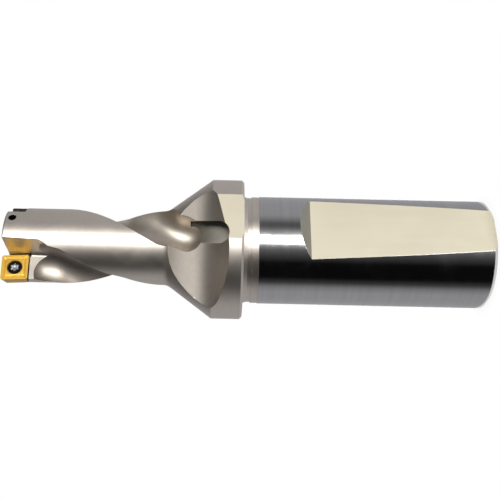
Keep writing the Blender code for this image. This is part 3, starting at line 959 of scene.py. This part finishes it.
peripheralOffset = bodySizes["drillDiameter"] / 2 - halfInsert
centralOffset = halfInsert - insertSizes["centralOverlap"]


def insertMatrix(offset, turn):  # X outward, Y towards the shank, Z out of the top face
    outward, upward, along = seatFrame(turn)
    place = Matrix.Translation(outward * offset + upward * seatRise + along * insertCentre)
    tilt = Matrix.Rotation(math.radians(insertSizes["tilt"]), 4, "Z")
    return place @ axes(outward, -along, upward) @ tilt


def pocketCutters(offset, turn, outerSideOpen):
    place = insertMatrix(offset, turn)
    wall = halfInsert + insertSizes["seatGap"]
    openSide = wall + overcut
    floor = insertSizes["thickness"] + insertSizes["seatGap"]
    lift = insertSizes["pocketLift"]
    bm = bmesh.new()
    bmesh.ops.create_cube(bm, size=2)
    for vert in bm.verts:
        depth = -lift if vert.co.z > 0 else floor
        closed = wall - depth * math.tan(math.radians(insertSizes["clearance"]))
        side = openSide if vert.co.x > 0 and outerSideOpen else closed
        vert.co = (math.copysign(side, vert.co.x), closed if vert.co.y > 0 else -openSide, -depth)
    bmesh.ops.transform(bm, matrix=place, verts=bm.verts)
    pocket = meshObject("pocket", bm, "pocketSteel")

    corner = -halfInsert if outerSideOpen else halfInsert
    middle = place @ Matrix.Translation((corner, halfInsert, (lift - floor) / 2))
    radius = insertSizes["cornerRelief"]
    steps = insertSizes["reliefSteps"]
    relief = cylinderObject("cornerRelief", radius, floor + lift, steps, "pocketSteel", middle)
    through = bodySizes["drillDiameter"] / 2
    middle = place @ Matrix.Translation((0, 0, -insertSizes["thickness"] - through / 2))
    radius = screwSizes["diameter"] / 2 + screwSizes["gap"]
    steps = insertSizes["holeSteps"]
    # the tapped hole is coloured near black as painted shade
    hole = cylinderObject("tappedHole", radius, through, steps, "paintedShadeBlack", middle)
    return [pocket, relief, hole]


def chipClearanceCutter():  # opens the gullet of the central insert past the middle
    outward, upward, along = seatFrame(halfTurn)
    near = -insertSizes["centralOverlap"] - insertSizes["seatGap"] - insertSizes["chipClearance"]
    far = fluteSizes["gulletWall"] + fluteSizes["gulletFillet"]
    reach = bodySizes["drillDiameter"] / 2
    rear = insertCentre - halfInsert - insertSizes["seatGap"]
    top = front + overcut
    middle = outward * (near + far) / 2 + upward * (seatRise + reach / 2) + along * (top + rear) / 2
    place = Matrix.Translation(middle) @ axes(outward, upward, along)
    return boxObject("chipClearance", (far - near, reach, top - rear), "pocketSteel", place)


def coolantCutters():
    inletRadius = coolantSizes["inletDiameter"] / 2
    depth = coolantSizes["inletDepth"]
    point = depth + inletRadius / math.tan(math.radians(coolantSizes["inletPointAngle"]))
    profile = [(0, point), (inletRadius, depth), (inletRadius, -overcut), (0, -overcut)]
    # the coolant inlet and holes are coloured near black as painted shade
    cutters = [turnedObject("coolantInlet", profile, coolantSizes["inletSteps"], "paintedShadeBlack")]
    for turn in (0.0, halfTurn):
        angle = math.radians(coolantSizes["angle"]) + turn
        top = direction(angle) * coolantSizes["radius"] + alongTool * (front + overcut)
        bm = bmesh.new()
        circle = bmesh.ops.create_circle(
            bm,
            cap_ends=True,
            radius=coolantSizes["diameter"] / 2,
            segments=coolantSizes["steps"],
            matrix=Matrix.Translation(top),
        )
        heights = [front + overcut] + evenSteps(helixStart, coneTop, coolantSizes["rings"])
        sweepDown(bm, circle["verts"][0].link_faces[0], heights)
        cutters.append(meshObject("coolantHole", bm, "paintedShadeBlack"))
    return cutters


def drillBody():
    body = turnedBody()
    cutters = []
    for turn in (0.0, halfTurn):
        cutters += fluteCutters(turn)
        cutters += runOutCutters(turn)
    cutters += flatCutters()
    cutters += pocketCutters(peripheralOffset, 0.0, True)
    cutters += pocketCutters(centralOffset, halfTurn, False)
    cutters.append(chipClearanceCutter())
    cutters += coolantCutters()
    cutAll(body, cutters)
    finishMesh(body, bodySizes["sharpAngle"])
    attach(body, "root")
    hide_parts("drill_body")
    return body


body = drillBody()
print("drill body:", len(body.data.polygons), "faces")


# Inserts and their screws

def insertObject(node, offset, turn):
    bm = bmesh.new()
    bmesh.ops.create_grid(bm, x_segments=1, y_segments=1, size=halfInsert)
    roundCorners(bm, bm.verts[:], insertSizes["corner"], insertSizes["cornerSteps"])
    top = bm.faces[:][0]
    bottom = extruded(bm, top)
    inward = insertSizes["thickness"] * math.tan(math.radians(insertSizes["clearance"]))
    shrink = 1 - inward / halfInsert
    bmesh.ops.scale(bm, vec=(shrink, shrink, 1), verts=bottom.verts)
    bmesh.ops.translate(bm, vec=(0, 0, -insertSizes["thickness"]), verts=bottom.verts)
    half = halfInsert
    steps = insertSizes["grooveSteps"]
    swings = evenSteps(0, 2 * math.pi, steps)
    rings = [(insertSizes["land"], 0)]
    for before, after in zip(swings, swings[1:]):
        rise = (math.cos(after) - math.cos(before)) / 2 * insertSizes["grooveDepth"]
        rings.append((insertSizes["grooveWidth"] / steps, rise))
    for width, rise in rings:
        outer = top
        top = extruded(bm, outer)
        shrink = 1 - width / half
        bmesh.ops.scale(bm, vec=(shrink, shrink, 1), verts=top.verts)
        bmesh.ops.translate(bm, vec=(0, 0, rise), verts=top.verts)
        bmesh.ops.delete(bm, geom=[outer], context="FACES_ONLY")
        half -= width
    place = insertMatrix(offset, turn)
    bmesh.ops.transform(bm, matrix=place, verts=bm.verts)
    made = meshObject(node + "_finished", bm, "goldCoating")
    profile = screwProfile(screwSizes["gap"], overcut, overcut)
    cutAll(made, [turnedObject("screwHole", profile, screwSizes["steps"], "goldCoating", place)])
    finishMesh(made, insertSizes["sharpAngle"])
    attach(made, "root")
    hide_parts(node)


def screwProfile(gap, above, below):
    head = screwSizes["headDiameter"] / 2 + gap
    shaft = screwSizes["diameter"] / 2 + gap
    top = -screwSizes["recess"]
    rim = top - screwSizes["rim"]
    taper = (head - shaft) / math.tan(math.radians(screwSizes["headAngle"]))
    end = -screwSizes["length"] - below
    upper = [(0, top + above), (head, top + above), (head, rim)]
    return upper + [(shaft, rim - taper), (shaft, end), (0, end)]


def screwObject(node, offset, turn):
    place = insertMatrix(offset, turn)
    profile = screwProfile(0, 0, 0)
    made = turnedObject(node + "_finished", profile, screwSizes["steps"], "darkScrewSteel", place)
    lobes = []
    for angle in evenSteps(0, 2 * math.pi, screwSizes["socketSteps"])[1:]:
        wave = math.cos(screwSizes["socketLobes"] * angle)
        radius = screwSizes["socketRadius"] + screwSizes["socketLobe"] * wave
        lobes.append((radius * math.cos(angle), radius * math.sin(angle)))
    top = place @ Matrix.Translation((0, 0, -screwSizes["recess"]))
    # the socket's walls get the light grey, a painted highlight
    cutAll(made, [outlineObject("socket", lobes, screwSizes["socketDepth"], "socketPaintedHighlight", top)])
    finishMesh(made, screwSizes["sharpAngle"])
    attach(made, "root")
    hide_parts(node)


for node, offset, turn in (("peripheral", peripheralOffset, 0.0), ("central", centralOffset, halfTurn)):
    insertObject(node + "_insert", offset, turn)
    screwObject(node + "_insert_screw", offset, turn)
print("inserts and screws made")


# Floor and light

floorLook = {
    "radius": 14.5,
    "fadeStart": 11.0,
    "colour": (0.93, 0.93, 0.93),
    "roughness": 0.9,
    "segments": 96,
    "glow": 0.9,  # share of plain white that a camera or a reflection sees in it
}
tentLook = {
    "radius": 700.0,
    "halfHeight": 2500.0,
    "level": 1.0,
    "tipLevel": 0.06,  # what lies beyond the tip
    "endStart": 0.30,  # slope of the view, from where the ends begin and where they are full
    "endFull": 0.75,
    "segments": 96,
    "blueShare": 1.06,  # the screens are this much bluer than grey
    "stripPlace": 0.9,  # share of the radius at which the strip lamps stand
    "stripLength": 1.6,  # of that distance
}
# Brightness of the tent by the angle round the tool from the camera's side.
tentBands = [
    (-180, 0.50),
    (-150, 0.44),
    (-96, 0.42),
    (-82, 0.30),
    (-70, 0.06),
    (-58, 0.004),
    (-24, 0.004),
    (-10, 0.06),
    (3, 0.14),
    (12, 0.36),
    (38, 0.44),
    (46, 0.20),
    (53, 0.11),
    (60, 0.13),
    (68, 0.27),
    (80, 0.42),
    (150, 0.44),
    (180, 0.50),
]
# The same for what lies beyond the shank.
shankBands = [
    (-180, 0.50),
    (-78, 0.45),
    (-62, 0.06),
    (-24, 0.06),
    (-8, 0.50),
    (10, 0.75),
    (60, 0.75),
    (180, 0.50),
]
# Strip lamps along the tool: angle from the camera's side, width in degrees, radiance.
stripLamps = {"frontStrip": (23.2, 16.0, 9.0), "backStrip": (180.0, 24.0, 1.6)}


def makeFloor():
    bm = bmesh.new()
    radius = floorLook["radius"] * mm
    bmesh.ops.create_circle(bm, cap_ends=True, segments=floorLook["segments"], radius=radius)
    floor = linkedObject("floor", bm)
    material = bpy.data.materials.new("paleFloor")
    material.use_nodes = True
    tree = material.node_tree
    link = tree.links.new
    shader = tree.nodes["Principled BSDF"]
    shader.inputs["Base Color"].default_value = (*floorLook["colour"], 1.0)
    shader.inputs["Roughness"].default_value = floorLook["roughness"]
    shader.inputs["Specular IOR Level"].default_value = 0.0
    glow = addNode(tree, "ShaderNodeEmission", {"Color": (1, 1, 1, 1), "Strength": 1.0})
    coords = addNode(tree, "ShaderNodeTexCoord")
    distance = addNode(tree, "ShaderNodeVectorMath", operation="LENGTH")
    fadeStart = floorLook["fadeStart"] * mm
    fadeRange = {"From Min": fadeStart, "From Max": radius, "To Min": floorLook["glow"]}
    fade = addNode(tree, "ShaderNodeMapRange", fadeRange)
    path = addNode(tree, "ShaderNodeLightPath")
    mix = addNode(tree, "ShaderNodeMixShader")
    seen = seenRays(tree, path)
    share = addNode(tree, "ShaderNodeMath", operation="MULTIPLY")
    link(coords.outputs["Object"], distance.inputs[0])
    link(distance.outputs["Value"], fade.inputs[0])
    link(fade.outputs[0], share.inputs[0])
    link(seen.outputs[0], share.inputs[1])
    link(share.outputs[0], mix.inputs[0])
    link(shader.outputs[0], mix.inputs[1])
    link(glow.outputs[0], mix.inputs[2])
    link(mix.outputs[0], tree.nodes["Material Output"].inputs["Surface"])
    floor.data.materials.append(material)


def seenRays(tree, path):  # 1 for what the camera, a reflection or a clear material sees
    first = addNode(tree, "ShaderNodeMath", operation="MAXIMUM")
    second = addNode(tree, "ShaderNodeMath", operation="MAXIMUM")
    tree.links.new(path.outputs["Is Camera Ray"], first.inputs[0])
    tree.links.new(path.outputs["Is Glossy Ray"], first.inputs[1])
    tree.links.new(first.outputs[0], second.inputs[0])
    tree.links.new(path.outputs["Is Transmission Ray"], second.inputs[1])
    return second


def bandRamp(tree, place, levels):  # brightness by the angle round the tool
    bands = addNode(tree, "ShaderNodeValToRGB")
    ramp = bands.color_ramp
    for turn, level in levels[1:-1]:
        ramp.elements.new((turn + 180) / 360)
    for element, (turn, level) in zip(ramp.elements, levels):
        element.color = (level, level, level * tentLook["blueShare"], 1)
    tree.links.new(place.outputs[0], bands.inputs[0])
    return bands


def makeTent():  # screens round the tool; the camera looks through them
    bm = bmesh.new()
    bmesh.ops.create_cone(
        bm,
        cap_ends=True,
        segments=tentLook["segments"],
        radius1=tentLook["radius"] * mm,
        radius2=tentLook["radius"] * mm,
        depth=2 * tentLook["halfHeight"] * mm,
    )
    tent = linkedObject("tent", bm)
    material = bpy.data.materials.new("tentBands")
    material.use_nodes = True
    tree = material.node_tree
    tree.nodes.remove(tree.nodes["Principled BSDF"])
    link = tree.links.new
    coords = addNode(tree, "ShaderNodeTexCoord")
    parts = addNode(tree, "ShaderNodeSeparateXYZ")
    flip = addNode(tree, "ShaderNodeMath", {1: -1.0}, operation="MULTIPLY")
    angle = addNode(tree, "ShaderNodeMath", operation="ARCTAN2")
    place = addNode(tree, "ShaderNodeMapRange", {"From Min": -math.pi, "From Max": math.pi})
    bands = bandRamp(tree, place, tentBands)
    farBands = bandRamp(tree, place, shankBands)
    slope = addNode(tree, "ShaderNodeVectorMath", operation="NORMALIZE")
    slopeParts = addNode(tree, "ShaderNodeSeparateXYZ")
    tipRange = {"From Min": tentLook["endStart"], "From Max": tentLook["endFull"]}
    tipShare = addNode(tree, "ShaderNodeMapRange", tipRange, interpolation_type="SMOOTHSTEP")
    shankRange = {name: -value for name, value in tipRange.items()}
    shankShare = addNode(tree, "ShaderNodeMapRange", shankRange, interpolation_type="SMOOTHSTEP")
    tipColour = {7: (*[tentLook["tipLevel"]] * 3, 1)}
    toTip = addNode(tree, "ShaderNodeMix", tipColour, data_type="RGBA")
    toShank = addNode(tree, "ShaderNodeMix", data_type="RGBA")
    glow = addNode(tree, "ShaderNodeEmission", {"Strength": tentLook["level"]})
    clear = addNode(tree, "ShaderNodeBsdfTransparent")
    path = addNode(tree, "ShaderNodeLightPath")
    mix = addNode(tree, "ShaderNodeMixShader")
    link(coords.outputs["Object"], parts.inputs[0])
    link(coords.outputs["Object"], slope.inputs[0])
    link(parts.outputs["Y"], flip.inputs[0])
    link(parts.outputs["X"], angle.inputs[0])
    link(flip.outputs[0], angle.inputs[1])
    link(angle.outputs[0], place.inputs[0])
    link(farBands.outputs[0], toShank.inputs[7])
    link(slope.outputs[0], slopeParts.inputs[0])
    link(slopeParts.outputs["Z"], tipShare.inputs[0])
    link(slopeParts.outputs["Z"], shankShare.inputs[0])
    link(tipShare.outputs[0], toTip.inputs[0])
    link(bands.outputs[0], toTip.inputs[6])
    link(shankShare.outputs[0], toShank.inputs[0])
    link(toTip.outputs[2], toShank.inputs[6])
    link(toShank.outputs[2], glow.inputs["Color"])
    link(path.outputs["Is Camera Ray"], mix.inputs[0])
    link(glow.outputs[0], mix.inputs[1])
    link(clear.outputs[0], mix.inputs[2])
    link(mix.outputs[0], tree.nodes["Material Output"].inputs["Surface"])
    tent.data.materials.append(material)


def makeStrips():
    distance = tentLook["radius"] * tentLook["stripPlace"] * mm
    for name, (turn, width, radiance) in stripLamps.items():
        light = bpy.data.lights.new(name, "AREA")
        light.shape = "RECTANGLE"
        light.size = 2 * distance * math.tan(math.radians(width / 2))
        light.size_y = tentLook["stripLength"] * distance
        light.energy = radiance * math.pi * light.size * light.size_y
        strip = bpy.data.objects.new(name, light)
        scene.collection.objects.link(strip)
        outward = direction(math.radians(turn))
        middle = Matrix.Translation(outward * distance + alongTool * front * mm / 2)
        strip.matrix_world = middle @ axes(alongTool.cross(outward), alongTool, outward)


def makeWorld():
    world = bpy.data.worlds.new("studio")
    world.use_nodes = True
    scene.world = world
    tree = world.node_tree
    tree.nodes["Background"].inputs["Color"].default_value = (1, 1, 1, 1)
    tree.nodes["Background"].inputs["Strength"].default_value = 1.0


makeFloor()
makeTent()
makeStrips()
makeWorld()
scene.view_settings.view_transform = "Standard"
print("floor and light made")


# Camera at the photograph's angle: the tool lies across the picture, tip to the left

cameraPlace = {
    "distance": 190.0,
    "height": 60.105,
    "pixelsPerMm": 4.263,  # at the tool's axis, in a picture 500 pixels wide
    "fall": 0.0219,  # the axis falls to the right by this much
    "axisAtLeftEdge": 244.55,  # pixels from the top
    "facingColumn": 225.0,  # pixels from the left, where the view is square to the axis
    "pictureSize": 500.0,
    "sensor": 36.0,
    "clipStart": 10.0,
}


def makeCamera():
    place = cameraPlace
    data = bpy.data.cameras.new("camera")
    data.sensor_width = place["sensor"]
    data.lens = place["pixelsPerMm"] * place["distance"] / place["pictureSize"] * place["sensor"]
    half = place["pictureSize"] / 2
    data.shift_x = (half - place["facingColumn"]) / place["pictureSize"]
    rowThere = place["axisAtLeftEdge"] + place["fall"] * place["facingColumn"]
    data.shift_y = (rowThere - half) / place["pictureSize"]
    data.clip_start = place["clipStart"] * mm
    camera = bpy.data.objects.new("camera", data)
    scene.collection.objects.link(camera)
    tilt = math.atan(place["fall"])
    right = Vector((math.sin(tilt), 0, -math.cos(tilt)))
    up = Vector((math.cos(tilt), 0, math.sin(tilt)))
    spot = Matrix.Translation(Vector((0, -place["distance"], place["height"])) * mm)
    camera.matrix_world = spot @ axes(right, up, right.cross(up))
    scene.camera = camera


makeCamera()
print("camera set")
